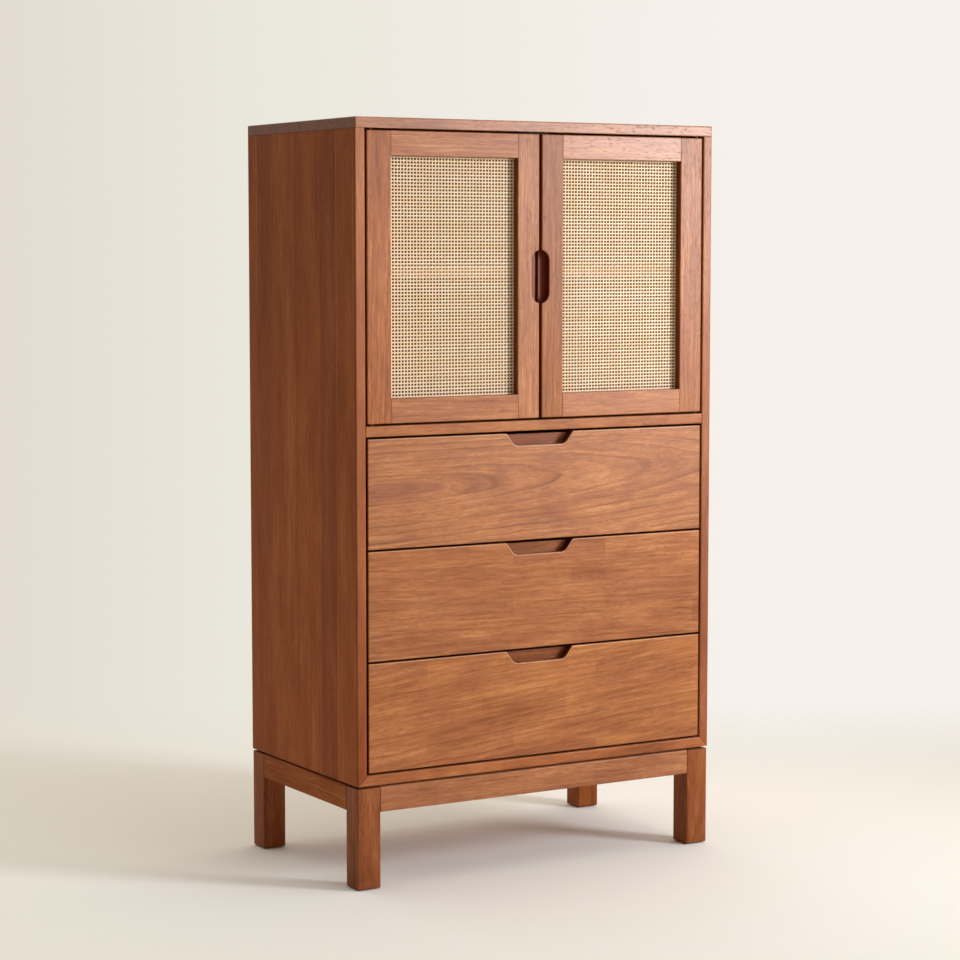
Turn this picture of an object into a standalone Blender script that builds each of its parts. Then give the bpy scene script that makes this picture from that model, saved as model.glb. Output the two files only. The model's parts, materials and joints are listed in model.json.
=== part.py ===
"""Tallboy: a cupboard with two cane doors over three drawers, in one hardwood case on a four-legged base.

Metres, +Z up. The front faces -Y, +X is the viewer's right, and the origin is on the floor under the middle.
"""

import bmesh
import bpy
from math import cos, pi, sin, sqrt, tan
from mathutils import Matrix, Vector

# Fits
FIT = 0.0003                # clearance between pieces that touch
REVEAL = 0.004              # gap between each door or drawer front and what is beside it
OVERCUT = 0.002             # how far a cut runs out past the face it opens

# Case
CASE_WIDTH = 0.800
CASE_DEPTH = 0.450
PANEL = 0.020               # thickness of the case's boards
CASE_EASE = 0.002           # rounding of the case's edges
BACK_THICKNESS = 0.006
BACK_REBATE = 0.010         # how far the back is let into the boards round it

# Cupboard shelf
SHELF_RISE = 0.275          # from the fixed shelf up to the cupboard shelf
SHELF_SETBACK = 0.018       # from the back of the doors
SHELF_HOUSING = 0.006       # how far its ends are let into the sides

# Base
BASE_HEIGHT = 0.194
BASE_INSET = 0.001          # from the case's faces
SHADOW_GAP = 0.004          # dark line between base and case
LEG_SIZE = 0.048
LEG_EASE = 0.002
APRON_HEIGHT = 0.048
APRON_THICKNESS = 0.020
APRON_SETBACK = 0.0005
APRON_TENON_THICKNESS = 0.008
APRON_TENON_LENGTH = 0.014
APRON_TENON_SHOULDER = 0.010
SPACER_RECESS = 0.008
SPACER_WIDTH = 0.022
GLIDE_DIAMETER = 0.030
GLIDE_THICKNESS = 0.0015
GLIDE_STEM_DIAMETER = 0.006
GLIDE_STEM_LENGTH = 0.012

# Doors
DOOR_HEIGHT = 0.540
MEETING_GAP = 0.006         # between the two doors
MEETING_STILE_WIDTH = 0.047
HINGE_STILE_WIDTH = 0.050
RAIL_HEIGHT = 0.046
FRONT_EASE = 0.0015         # rounding of the doors' and drawer fronts' outer edges
CANE_SETBACK = 0.015        # from the door's face to the cane
CANE_THICKNESS = 0.0012
CANE_REBATE = 0.008         # how far the cane runs behind the frame
BEAD_THICKNESS = 0.0052
RAIL_TENON_THICKNESS = 0.008
RAIL_TENON_LENGTH = 0.025
RAIL_TENON_SHOULDER = 0.010
PULL_WIDTH = 0.040          # of the finger pocket across both meeting stiles
PULL_HEIGHT = 0.102
PULL_DEPTH = 0.015

# Pivot hinges, a collared pin at the head and the foot of each door
PIVOT_INSET = 0.010         # from the door's hinge edge to the pin
PIVOT_SETBACK = 0.008       # from the door's face to the pin
HINGE_PIN_DIAMETER = 0.006
HINGE_PIN_BURIED = 0.012    # in the door and in the case
COLLAR_DIAMETER = 0.010

# Drawers, from the lowest up
DRAWERS = ("lower", "middle", "upper")
DRAWER_HEIGHT = 0.206
DRAWER_FRONT_THICKNESS = 0.020
NOTCH_TOP_WIDTH = 0.150
NOTCH_FLOOR_WIDTH = 0.114
NOTCH_DEPTH = 0.024
NOTCH_ROUND = 0.018         # radius of the notch's lower corners
NOTCH_LIP_ROUND = 0.004     # radius of its upper corners
LIP_THICKNESS = 0.008       # wood left in front of the finger hollow
HOLLOW_DEPTH = 0.014        # of the finger hollow under the notch's floor
BOX_WALL = 0.012
BOX_HEADROOM = 0.003        # from the box's rim to the top of the front
BOX_BOTTOM = 0.006
BOX_BOTTOM_RISE = 0.010     # from the box's lower edge to its bottom
BOX_GROOVE = 0.006          # how far the bottom runs into the walls
BOX_EASE = 0.0008
RUNNER_WIDTH = 0.020
RUNNER_HEIGHT = 0.018
RUNNER_SETBACK = 0.003      # from the back of the drawer front
STOP_LENGTH = 0.012
STOP_HEIGHT = 0.014

# Roundness
EASE_SEGMENTS = 2
ARC_STEPS = 6               # straight runs in each rounded corner of an outline
TURNED_SIDES = 20
WELD = 0.00001              # points closer than this are one
FLAT_ANGLE = 0.001          # faces that meet at less than this, in radians, are one face

# Places that follow from the sizes
HALF_WIDTH = CASE_WIDTH / 2
INNER_X = HALF_WIDTH - PANEL
FRONT_X = INNER_X - REVEAL
FRONT_Y = -CASE_DEPTH / 2
REAR_Y = CASE_DEPTH / 2
BACK_Y = REAR_Y - BACK_THICKNESS
CASE_FOOT = BASE_HEIGHT + SHADOW_GAP
CASE_FLOOR = CASE_FOOT + PANEL
DRAWER_PITCH = DRAWER_HEIGHT + REVEAL
SHELF_UNDER = CASE_FLOOR + REVEAL + DRAWER_PITCH * len(DRAWERS)
SHELF_OVER = SHELF_UNDER + PANEL
DOOR_FOOT = SHELF_OVER + REVEAL
DOOR_HEAD = DOOR_FOOT + DOOR_HEIGHT
TOP_UNDER = DOOR_HEAD + REVEAL
CASE_TOP = TOP_UNDER + PANEL
DOOR_THICKNESS = CANE_SETBACK + CANE_THICKNESS + BEAD_THICKNESS + 2 * FIT
DOOR_BACK_Y = FRONT_Y + DOOR_THICKNESS
PIVOT_X = FRONT_X - PIVOT_INSET
PIVOT_Y = FRONT_Y + PIVOT_SETBACK
DRAWER_BACK_Y = FRONT_Y + DRAWER_FRONT_THICKNESS
BASE_X = HALF_WIDTH - BASE_INSET
BASE_Y = CASE_DEPTH / 2 - BASE_INSET
LEG_FOOT = GLIDE_THICKNESS + FIT
LEFT, RIGHT = -1, 1
FRONT, BACK = -1, 1
HANDS = {"left": LEFT, "right": RIGHT}
ROWS = {"front": FRONT, "back": BACK}

# The sides of a block, by the way each one faces
SIDES = {
    "left": Vector((-1, 0, 0)), "right": Vector((1, 0, 0)),
    "front": Vector((0, -1, 0)), "back": Vector((0, 1, 0)),
    "bottom": Vector((0, 0, -1)), "top": Vector((0, 0, 1)),
}


def start_clean():
    """Empties the scene and makes one collection for the parts and one for the cutters."""
    for thing in list(bpy.data.objects):
        bpy.data.objects.remove(thing, do_unlink=True)
    made = []
    for name in ("tallboy", "tallboy_cutters"):
        collection = bpy.data.collections.new(name)
        bpy.context.scene.collection.children.link(collection)
        made.append(collection)
    return made


PARTS, CUTTERS = start_clean()


def finish(name, red, green, blue, roughness, metallic=0.0):
    """A plain Principled material in linear colour."""
    material = bpy.data.materials.new(name)
    material.use_nodes = True
    shader = material.node_tree.nodes["Principled BSDF"]
    shader.inputs["Base Color"].default_value = (red, green, blue, 1.0)
    shader.inputs["Roughness"].default_value = roughness
    shader.inputs["Metallic"].default_value = metallic
    return material


HARDWOOD = finish("oiled hardwood", 0.42, 0.17, 0.08, 0.45)
BOX_WOOD = finish("drawer box hardwood", 0.36, 0.16, 0.09, 0.55)
BACK_PLY = finish("veneered plywood", 0.38, 0.17, 0.09, 0.55)
CANE = finish("woven cane", 0.74, 0.54, 0.30, 0.60)
BRASS = finish("brass", 0.66, 0.47, 0.20, 0.35, 1.0)
BLACK_PLASTIC = finish("black plastic", 0.02, 0.018, 0.016, 0.50)


def add_object(name, mesh, material, collection, location=(0, 0, 0)):
    """Links a mesh into the scene as a named object with one material."""
    piece = bpy.data.objects.new(name, mesh)
    piece.location = location
    collection.objects.link(piece)
    if material:
        mesh.materials.clear()
        mesh.materials.append(material)
    return piece


def as_cutter(piece):
    """Marks a helper that only shapes other pieces."""
    piece.hide_render = True
    piece.display_type = "WIRE"
    return piece


def mesh_from(bm, name):
    """Turns a working mesh into mesh data with its faces pointing out."""
    bmesh.ops.recalc_face_normals(bm, faces=bm.faces)
    mesh = bpy.data.meshes.new(name)
    bm.to_mesh(mesh)
    bm.free()
    return mesh


def ease_edges(bm, width, wanted):
    """Rounds the edges that the test, wanted, picks."""
    edges = [edge for edge in bm.edges if wanted(edge)]
    bmesh.ops.bevel(bm, geom=edges, offset=width, segments=EASE_SEGMENTS, profile=0.5, affect="EDGES",
                    clamp_overlap=True)


def block(name, low, high, material=None, ease=0.0, sharp=(), collection=None):
    """A block between two corners. Its edges are eased, apart from those of the sides named in sharp."""
    low, high = Vector(low), Vector(high)
    bm = bmesh.new()
    bmesh.ops.create_cube(bm, size=1.0, matrix=Matrix.Diagonal((*(high - low), 1.0)))
    bm.normal_update()
    kept = [SIDES[side] for side in sharp]
    if ease:
        ease_edges(bm, ease, lambda edge: all(
            face.normal.dot(way) < 0.5 for face in edge.link_faces for way in kept))
    return add_object(name, mesh_from(bm, name), material, collection or PARTS, (low + high) / 2)


def cutter_block(name, low, high):
    """A block that only cuts or joins."""
    return as_cutter(block(name, low, high, collection=CUTTERS))


def cutter_cylinder(name, centre, diameter, length):
    """An upright cylinder that only cuts."""
    bm = bmesh.new()
    radius = diameter / 2
    bmesh.ops.create_cone(bm, cap_ends=True, segments=TURNED_SIDES, radius1=radius, radius2=radius,
                          depth=length)
    return as_cutter(add_object(name, mesh_from(bm, name), None, CUTTERS, centre))


def rounded(corners):
    """The points of a closed outline. Each corner is x, y and the radius of its arc."""
    points = []
    for index, (x, y, radius) in enumerate(corners):
        here = Vector((x, y))
        if not radius:
            points.append(here)
            continue
        before = (Vector(corners[index - 1][:2]) - here).normalized()
        after = (Vector(corners[(index + 1) % len(corners)][:2]) - here).normalized()
        half_angle = before.angle(after) / 2
        centre = here + (before + after).normalized() * (radius / sin(half_angle))
        start = here + before * (radius / tan(half_angle)) - centre
        end = here + after * (radius / tan(half_angle)) - centre
        sweep = start.angle_signed(end)
        for step in range(ARC_STEPS + 1):
            turn = -sweep * step / ARC_STEPS
            points.append(centre + Vector((start.x * cos(turn) - start.y * sin(turn),
                                           start.x * sin(turn) + start.y * cos(turn))))
    return points


def prism(name, outline, front, back, material=None, ease=0.0, wanted=None, collection=None):
    """An upright outline in X and Z, run along Y. The edges that the test, wanted, picks are eased."""
    curve = bpy.data.curves.new(name, "CURVE")
    curve.dimensions = "2D"
    curve.fill_mode = "BOTH"
    curve.extrude = (back - front) / 2
    spline = curve.splines.new("POLY")
    spline.points.add(len(outline) - 1)
    for point, place in zip(spline.points, outline):
        point.co = (place[0], place[1], 0.0, 1.0)
    spline.use_cyclic_u = True
    drawn = bpy.data.objects.new(name, curve)
    drawn.location = (0, (front + back) / 2, 0)
    drawn.rotation_euler = (pi / 2, 0, 0)
    CUTTERS.objects.link(drawn)
    bpy.context.view_layer.update()
    mesh = bpy.data.meshes.new_from_object(drawn.evaluated_get(bpy.context.evaluated_depsgraph_get()))
    bm = bmesh.new()
    bm.from_mesh(mesh)
    bm.transform(drawn.matrix_world)
    bpy.data.meshes.remove(mesh)
    bpy.data.objects.remove(drawn, do_unlink=True)
    bpy.data.curves.remove(curve)
    bmesh.ops.remove_doubles(bm, verts=bm.verts, dist=WELD)
    bmesh.ops.dissolve_limit(bm, angle_limit=FLAT_ANGLE, verts=bm.verts, edges=bm.edges)
    if ease:
        ease_edges(bm, ease, wanted)
    return add_object(name, mesh_from(bm, name), material, collection or PARTS)


def turned(name, profile, centre, material=None):
    """A shape turned about Z. The profile is radius and height, from its top down its outer side."""
    bm = bmesh.new()
    points = [bm.verts.new((radius, 0, height)) for radius, height in profile]
    for upper, lower in zip(points, points[1:]):
        bm.edges.new((upper, lower))
    mesh = bpy.data.meshes.new(name)
    bm.to_mesh(mesh)
    bm.free()
    piece = add_object(name, mesh, material, PARTS, centre)
    screw = piece.modifiers.new("turn", "SCREW")
    screw.axis = "Z"
    screw.steps = TURNED_SIDES
    screw.render_steps = TURNED_SIDES
    screw.use_merge_vertices = True
    screw.merge_threshold = WELD
    return piece


def shape_by(piece, helper, operation):
    """Cuts a helper from a piece, or joins it on."""
    change = piece.modifiers.new(helper.name, "BOOLEAN")
    change.operation = operation
    change.solver = "EXACT"
    change.object = helper


def cut(helper, *pieces):
    """Cuts a helper from each of the pieces."""
    for piece in pieces:
        shape_by(piece, helper, "DIFFERENCE")


def span(way, near, far):
    """The lower and higher end of a stretch measured from the middle out, to one side or the other."""
    return min(way * near, way * far), max(way * near, way * far)


def rail_along(name, low, high, along, tenon, ease, sharp):
    """A rail with a tenon on each end, and the cutter for its mortises, a clearance larger.

    The rail runs along axis 0 or 1. The tenon is its centre across the rail, thickness, shoulder and length.
    """
    centre, thickness, shoulder, length = tenon
    across = 1 - along
    rail = block(name, low, high, HARDWOOD, ease, sharp)
    helpers = []
    for kind, grow in (("tenon", 0.0), ("mortise", FIT)):
        bar_low, bar_high = Vector(low), Vector(high)
        bar_low[along] -= length + grow
        bar_high[along] += length + grow
        bar_low[across] = centre - thickness / 2 - grow
        bar_high[across] = centre + thickness / 2 + grow
        bar_low.z += shoulder - grow
        bar_high.z -= shoulder - grow
        helpers.append(cutter_block(f"{name}_{kind}", bar_low, bar_high))
    shape_by(rail, helpers[0], "UNION")
    return rail, helpers[1]


def runs_along(axis):
    """Picks the edges that run along one axis."""
    return lambda edge: abs((edge.verts[0].co - edge.verts[1].co).normalized()[axis]) > 0.99


def rims_a_face(edge):
    """Picks the edges round the front and back faces of an upright outline."""
    return sum(abs(face.normal.y) > 0.99 for face in edge.link_faces) == 1


def build_case():
    """The case: top over the sides, bottom mitred into them, fixed shelf between and back in a rebate."""
    sides = []
    for word, hand in HANDS.items():
        outline = [(hand * HALF_WIDTH, CASE_FOOT), (hand * INNER_X, CASE_FLOOR),
                   (hand * INNER_X, TOP_UNDER - FIT), (hand * HALF_WIDTH, TOP_UNDER - FIT)]
        side = prism(f"side_panel_{word}", outline, FRONT_Y, REAR_Y, HARDWOOD, CASE_EASE, runs_along(2))
        sides.append(side)
    top = block("top_panel", (-HALF_WIDTH, FRONT_Y, TOP_UNDER), (HALF_WIDTH, REAR_Y, CASE_TOP), HARDWOOD,
                CASE_EASE, ("bottom",))
    mitre_gap = FIT * sqrt(2)
    outline = [(-HALF_WIDTH + mitre_gap, CASE_FOOT), (HALF_WIDTH - mitre_gap, CASE_FOOT),
               (INNER_X - mitre_gap, CASE_FLOOR), (-INNER_X + mitre_gap, CASE_FLOOR)]
    bottom = prism("bottom_panel", outline, FRONT_Y, REAR_Y, HARDWOOD, CASE_EASE, runs_along(0))
    fixed_shelf = block("fixed_shelf", (-INNER_X + FIT, FRONT_Y, SHELF_UNDER),
                        (INNER_X - FIT, BACK_Y - 2 * FIT, SHELF_OVER), HARDWOOD, CASE_EASE,
                        ("left", "right", "back"))
    back_low = Vector((-INNER_X - BACK_REBATE, BACK_Y, CASE_FLOOR - BACK_REBATE))
    back_high = Vector((INNER_X + BACK_REBATE, REAR_Y, TOP_UNDER + BACK_REBATE))
    room = Vector((FIT, FIT, FIT))
    rebate = cutter_block("back_rebate", back_low - room, back_high + room + Vector((0, OVERCUT, 0)))
    cut(rebate, top, bottom, *sides)
    block("back_panel", back_low, back_high, BACK_PLY)
    return sides, top, fixed_shelf


def build_cupboard_shelf(sides):
    """The shelf behind the doors, its ends in stopped housings in the sides."""
    under = SHELF_OVER + SHELF_RISE
    end = INNER_X + SHELF_HOUSING
    low = Vector((-end, DOOR_BACK_Y + SHELF_SETBACK, under))
    high = Vector((end, BACK_Y - 2 * FIT, under + PANEL))
    room = Vector((FIT, FIT, FIT))
    block("cupboard_shelf", low, high, HARDWOOD, CASE_EASE, ("left", "right", "back"))
    housing = cutter_block("cupboard_shelf_housing", low - room, high + room)
    cut(housing, *sides)


def build_base():
    """The four legs and their glides, the aprons between them, and the spacer that lifts the case off."""
    legs = {}
    for depth_word, row in ROWS.items():
        for word, hand in HANDS.items():
            x_low, x_high = span(hand, BASE_X - LEG_SIZE, BASE_X)
            y_low, y_high = span(row, BASE_Y - LEG_SIZE, BASE_Y)
            leg = block(f"leg_{depth_word}_{word}", (x_low, y_low, LEG_FOOT), (x_high, y_high, BASE_HEIGHT),
                        HARDWOOD, LEG_EASE)
            build_glide(f"glide_{depth_word}_{word}", leg, (x_low + x_high) / 2, (y_low + y_high) / 2)
            legs[row, hand] = leg

    foot = BASE_HEIGHT - APRON_HEIGHT
    tenon = (APRON_TENON_THICKNESS, APRON_TENON_SHOULDER, APRON_TENON_LENGTH)
    apron_inset = APRON_SETBACK + APRON_THICKNESS
    for word, row in ROWS.items():
        y_low, y_high = span(row, BASE_Y - apron_inset, BASE_Y - APRON_SETBACK)
        end = BASE_X - LEG_SIZE - FIT
        mortise = rail_along(f"apron_{word}", (-end, y_low, foot), (end, y_high, BASE_HEIGHT), 0,
                             ((y_low + y_high) / 2, *tenon), CASE_EASE, ("left", "right"))[1]
        cut(mortise, legs[row, LEFT], legs[row, RIGHT])
    for word, hand in HANDS.items():
        x_low, x_high = span(hand, BASE_X - apron_inset, BASE_X - APRON_SETBACK)
        end = BASE_Y - LEG_SIZE - FIT
        mortise = rail_along(f"apron_{word}", (x_low, -end, foot), (x_high, end, BASE_HEIGHT), 1,
                             ((x_low + x_high) / 2, *tenon), CASE_EASE, ("front", "back"))[1]
        cut(mortise, legs[FRONT, hand], legs[BACK, hand])
    build_spacer()


def build_glide(name, leg, x, y):
    """A turned glide under a leg, with its stem in a bore."""
    stem, disc = GLIDE_STEM_DIAMETER / 2, GLIDE_DIAMETER / 2
    stem_top = LEG_FOOT + GLIDE_STEM_LENGTH
    chamfer = GLIDE_THICKNESS / 2
    profile = [(0, stem_top), (stem, stem_top), (stem, GLIDE_THICKNESS), (disc, GLIDE_THICKNESS),
               (disc, chamfer), (disc - chamfer, 0), (0, 0)]
    turned(name, profile, (x, y, 0), BLACK_PLASTIC)
    bore_top = stem_top + FIT
    cut(cutter_cylinder(f"{name}_bore", (x, y, bore_top / 2), GLIDE_STEM_DIAMETER + 2 * FIT, bore_top), leg)


def build_spacer():
    """A flat frame set back between base and case, which leaves a dark line all round."""
    out_x, out_y = BASE_X - SPACER_RECESS, BASE_Y - SPACER_RECESS
    in_x, in_y = out_x - SPACER_WIDTH, out_y - SPACER_WIDTH
    low, high = BASE_HEIGHT + FIT, CASE_FOOT - FIT
    spacer = block("base_spacer", (-out_x, -out_y, low), (out_x, out_y, high), BOX_WOOD)
    opening = cutter_block("base_spacer_opening", (-in_x, -in_y, low - OVERCUT), (in_x, in_y, high + OVERCUT))
    cut(opening, spacer)


def joint_empty(name, place):
    """An empty on a joint's axis, which carries the pieces that move with it."""
    empty = bpy.data.objects.new(name, None)
    empty.location = place
    PARTS.objects.link(empty)
    return empty


def carry(empty, pieces):
    """Hangs pieces on a joint's empty where they are."""
    bpy.context.view_layer.update()
    for piece in pieces:
        piece.parent = empty
        piece.matrix_parent_inverse = empty.matrix_world.inverted()


def build_hinge(name, hand, door_z, case_z, stile, board):
    """A turned pin from the case into the end of a door's stile, with a collar that keeps the two apart."""
    collar_low, collar_high = sorted((door_z, case_z))
    low, high = collar_low - HINGE_PIN_BURIED, collar_high + HINGE_PIN_BURIED
    pin, collar = HINGE_PIN_DIAMETER / 2, COLLAR_DIAMETER / 2
    profile = [(0, high), (pin, high), (pin, collar_high - FIT), (collar, collar_high - FIT),
               (collar, collar_low + FIT), (pin, collar_low + FIT), (pin, low), (0, low)]
    turned(name, profile, (hand * PIVOT_X, PIVOT_Y, 0), BRASS)
    bore = cutter_cylinder(f"{name}_bore", (hand * PIVOT_X, PIVOT_Y, (low + high) / 2),
                           HINGE_PIN_DIAMETER + 2 * FIT, high - low + 2 * FIT)
    cut(bore, stile, board)


def build_doors(top, fixed_shelf):
    """Both doors and their pivot hinges."""
    pull_x, pull_z = PULL_WIDTH / 2, PULL_HEIGHT / 2
    middle = (DOOR_FOOT + DOOR_HEAD) / 2
    corners = ((-pull_x, -pull_z), (pull_x, -pull_z), (pull_x, pull_z), (-pull_x, pull_z))
    outline = rounded([(x, middle + z, pull_x) for x, z in corners])
    pull = prism("pull_pocket", outline, FRONT_Y - OVERCUT, FRONT_Y + PULL_DEPTH, collection=CUTTERS)
    as_cutter(pull)
    for word, hand in HANDS.items():
        pieces, hinge_stile = build_door(word, hand, pull)
        build_hinge(f"hinge_pin_{word}_top", hand, DOOR_HEAD, TOP_UNDER, hinge_stile, top)
        build_hinge(f"hinge_pin_{word}_bottom", hand, DOOR_FOOT, SHELF_OVER, hinge_stile, fixed_shelf)
        carry(joint_empty(f"door_{word}_axis", (hand * PIVOT_X, PIVOT_Y, DOOR_FOOT)), pieces)


def build_door(word, hand, pull):
    """One door: stiles, rails, cane and the bead that holds it. X is measured out from the case's middle."""
    meeting, hinge = MEETING_GAP / 2, FRONT_X
    open_near, open_far = meeting + MEETING_STILE_WIDTH, hinge - HINGE_STILE_WIDTH
    open_foot, open_head = DOOR_FOOT + RAIL_HEIGHT, DOOR_HEAD - RAIL_HEIGHT
    towards, away = ("right", "left") if hand == LEFT else ("left", "right")
    stiles = {}
    for kind, near, far, inner in (("hinge", open_far, hinge, towards),
                                   ("meeting", meeting, open_near, away)):
        x_low, x_high = span(hand, near, far)
        stiles[kind] = block(f"door_{word}_{kind}_stile", (x_low, FRONT_Y, DOOR_FOOT),
                             (x_high, DOOR_BACK_Y, DOOR_HEAD), HARDWOOD, FRONT_EASE, (inner,))
    cut(pull, stiles["meeting"])

    x_low, x_high = span(hand, open_near + FIT, open_far - FIT)
    tenon = (FRONT_Y + CANE_SETBACK / 2, RAIL_TENON_THICKNESS, RAIL_TENON_SHOULDER, RAIL_TENON_LENGTH)
    frame = list(stiles.values())
    for kind, low, high, inner in (("top", open_head, DOOR_HEAD, "bottom"),
                                   ("bottom", DOOR_FOOT, open_foot, "top")):
        rail, mortise = rail_along(f"door_{word}_{kind}_rail", (x_low, FRONT_Y, low),
                                   (x_high, DOOR_BACK_Y, high), 0, tenon, FRONT_EASE,
                                   ("left", "right", inner))
        cut(mortise, *stiles.values())
        frame.append(rail)

    ledge = FRONT_Y + CANE_SETBACK
    x_low, x_high = span(hand, open_near - CANE_REBATE, open_far + CANE_REBATE)
    z_low, z_high = open_foot - CANE_REBATE, open_head + CANE_REBATE
    rebate = cutter_block(f"door_{word}_rebate", (x_low, ledge, z_low),
                          (x_high, DOOR_BACK_Y + OVERCUT, z_high))
    cut(rebate, *frame)
    cane_back = ledge + FIT + CANE_THICKNESS
    cane = block(f"door_{word}_cane", (x_low + FIT, ledge + FIT, z_low + FIT),
                 (x_high - FIT, cane_back, z_high - FIT), CANE)
    bead = block(f"door_{word}_cane_bead", (x_low + FIT, cane_back + FIT, z_low + FIT),
                 (x_high - FIT, DOOR_BACK_Y, z_high - FIT), HARDWOOD)
    x_low, x_high = span(hand, open_near, open_far)
    opening = cutter_block(f"door_{word}_bead_opening", (x_low, cane_back, open_foot),
                           (x_high, DOOR_BACK_Y + OVERCUT, open_head))
    cut(opening, bead)
    return [*frame, cane, bead], stiles["hinge"]


def build_drawer_front(word, foot):
    """The show front, with a finger notch in its upper edge and a hollow behind the notch's lip."""
    head = foot + DRAWER_HEIGHT
    notch_floor = head - NOTCH_DEPTH
    top_x, floor_x = NOTCH_TOP_WIDTH / 2, NOTCH_FLOOR_WIDTH / 2
    outline = rounded([(-FRONT_X, foot, 0), (FRONT_X, foot, 0), (FRONT_X, head, 0),
                       (top_x, head, NOTCH_LIP_ROUND), (floor_x, notch_floor, NOTCH_ROUND),
                       (-floor_x, notch_floor, NOTCH_ROUND), (-top_x, head, NOTCH_LIP_ROUND),
                       (-FRONT_X, head, 0)])
    front = prism(f"drawer_{word}_front", outline, FRONT_Y, DRAWER_BACK_Y, HARDWOOD, FRONT_EASE, rims_a_face)
    hollow_x = floor_x - NOTCH_ROUND
    hollow = cutter_block(f"drawer_{word}_finger_hollow",
                          (-hollow_x, FRONT_Y + LIP_THICKNESS, notch_floor - HOLLOW_DEPTH),
                          (hollow_x, DRAWER_BACK_Y + OVERCUT, notch_floor + NOTCH_DEPTH / 2))
    cut(hollow, front)
    return front


def build_drawer(word, foot):
    """One drawer: the show front, the box behind it, and the runners that carry the box in the case."""
    runner_foot = foot - REVEAL + FIT
    runner_top = runner_foot + RUNNER_HEIGHT
    edge, rim = runner_top + FIT, foot + DRAWER_HEIGHT - BOX_HEADROOM
    runner_rear = BACK_Y - 2 * FIT
    box_rear = runner_rear - STOP_LENGTH - FIT
    wall_y = DRAWER_BACK_Y + FIT + BOX_WALL
    inner_x = FRONT_X - BOX_WALL
    ply_z = edge + BOX_BOTTOM_RISE
    ply_low = Vector((-inner_x - BOX_GROOVE + FIT, wall_y - BOX_GROOVE + FIT, ply_z))
    ply_high = Vector((inner_x + BOX_GROOVE - FIT, box_rear, ply_z + BOX_BOTTOM))
    groove = cutter_block(f"drawer_{word}_groove", ply_low - Vector((FIT, FIT, FIT)),
                          ply_high + Vector((FIT, OVERCUT, FIT)))

    box_front = block(f"drawer_{word}_box_front", (-FRONT_X, DRAWER_BACK_Y + FIT, edge),
                      (FRONT_X, wall_y, rim), BOX_WOOD, BOX_EASE, ("left", "right", "front"))
    cut(groove, box_front)
    pieces = [build_drawer_front(word, foot), box_front]
    for side_word, hand in HANDS.items():
        x_low, x_high = span(hand, inner_x, FRONT_X)
        side = block(f"drawer_{word}_side_{side_word}", (x_low, wall_y + FIT, edge), (x_high, box_rear, rim),
                     BOX_WOOD, BOX_EASE, ("front", "back"))
        cut(groove, side)
        pieces.append(side)
    box_back = block(f"drawer_{word}_back", (-inner_x + FIT, box_rear - BOX_WALL, ply_z + BOX_BOTTOM + FIT),
                     (inner_x - FIT, box_rear, rim), BOX_WOOD, BOX_EASE, ("left", "right"))
    pieces.append(box_back)
    pieces.append(block(f"drawer_{word}_bottom", ply_low, ply_high, BACK_PLY))
    carry(joint_empty(f"drawer_{word}_slide", (0, FRONT_Y, (edge + rim) / 2)), pieces)

    for side_word, hand in HANDS.items():
        x_low, x_high = span(hand, INNER_X - FIT - RUNNER_WIDTH, INNER_X - FIT)
        name = f"drawer_{word}_runner_{side_word}"
        runner = block(name, (x_low, DRAWER_BACK_Y + RUNNER_SETBACK, runner_foot),
                       (x_high, runner_rear, runner_top + STOP_HEIGHT), BOX_WOOD)
        ride = cutter_block(f"{name}_ride", (x_low - OVERCUT, DRAWER_BACK_Y, runner_top),
                            (x_high + OVERCUT, box_rear + FIT, runner_top + STOP_HEIGHT + OVERCUT))
        cut(ride, runner)


def build_tallboy():
    """The whole piece of furniture."""
    sides, top, fixed_shelf = build_case()
    build_cupboard_shelf(sides)
    build_base()
    build_doors(top, fixed_shelf)
    for index, word in enumerate(DRAWERS):
        build_drawer(word, CASE_FLOOR + REVEAL + index * DRAWER_PITCH)


build_tallboy()
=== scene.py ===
"""The looks of a tallboy: oiled hardwood, woven cane, small hardware, a pale studio and the camera."""

import json
import math
import random

import bpy
import bmesh
from mathutils import Matrix, Vector


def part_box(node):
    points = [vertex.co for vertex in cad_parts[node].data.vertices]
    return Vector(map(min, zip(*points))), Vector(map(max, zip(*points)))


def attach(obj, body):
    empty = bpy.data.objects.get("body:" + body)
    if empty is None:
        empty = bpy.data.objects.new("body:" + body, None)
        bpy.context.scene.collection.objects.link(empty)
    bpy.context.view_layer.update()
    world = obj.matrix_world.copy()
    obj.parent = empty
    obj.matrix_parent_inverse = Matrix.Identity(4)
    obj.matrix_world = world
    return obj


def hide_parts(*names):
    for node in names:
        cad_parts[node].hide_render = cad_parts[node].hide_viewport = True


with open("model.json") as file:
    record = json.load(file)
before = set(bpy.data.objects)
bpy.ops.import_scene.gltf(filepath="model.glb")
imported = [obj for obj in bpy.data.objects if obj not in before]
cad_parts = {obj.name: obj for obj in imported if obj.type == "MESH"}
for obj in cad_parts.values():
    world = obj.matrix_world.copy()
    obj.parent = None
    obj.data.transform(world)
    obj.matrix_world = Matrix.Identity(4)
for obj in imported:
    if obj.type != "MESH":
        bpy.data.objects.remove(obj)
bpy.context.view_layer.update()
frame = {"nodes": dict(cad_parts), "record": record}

MM = 0.001
NODES = frame["nodes"]
SLOTS = {part["node"]: part["material_slot"] for part in frame["record"]["subparts"]}
DOORS = ("left", "right")


def linear(hex_colour):
    """The linear colour of an sRGB hex value."""
    channels = [int(hex_colour[start:start + 2], 16) / 255 for start in (1, 3, 5)]
    straight = [c / 12.92 if c <= 0.04045 else ((c + 0.055) / 1.055) ** 2.4 for c in channels]
    return (*straight, 1.0)


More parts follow.
